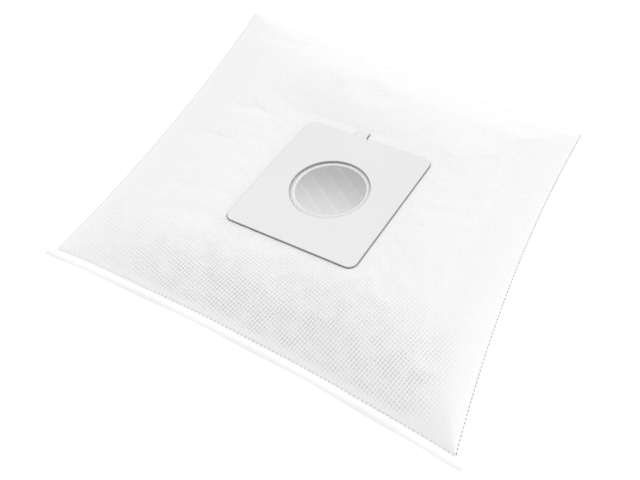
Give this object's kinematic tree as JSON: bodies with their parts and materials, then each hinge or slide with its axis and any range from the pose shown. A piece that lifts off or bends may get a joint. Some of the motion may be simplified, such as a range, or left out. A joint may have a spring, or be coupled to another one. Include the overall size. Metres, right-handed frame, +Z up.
{
  "type": "vacuum dust bag",
  "caption": "Flat pillow-shaped bag of white spunbond fabric, welded on all sides, with a stiff square collar plate, a round opening with a seal ring, and a grip tab.",
  "frame": {"origin": "on the surface that the bag lies on, under the middle of its outline", "axes": "+Z up, out of the collar's opening; +X along the near seam; +Y towards the side that the collar's grip tab points to"},
  "size_m": [0.3306, 0.294, 0.0316],
  "materials": {
    "spunbond_fabric": "white spunbond polypropylene, point bonded, matt with a faint sheen",
    "collar_plastic": "pale grey-white moulded plastic, smooth and semi-matt",
    "seal_rubber": "white thermoplastic rubber, satin"
  },
  "bodies": {
    "root": {"front_sheet": "spunbond_fabric", "back_sheet": "spunbond_fabric", "collar_plate": "collar_plastic", "seal_ring": "seal_rubber"}
  },
  "joints": []
}
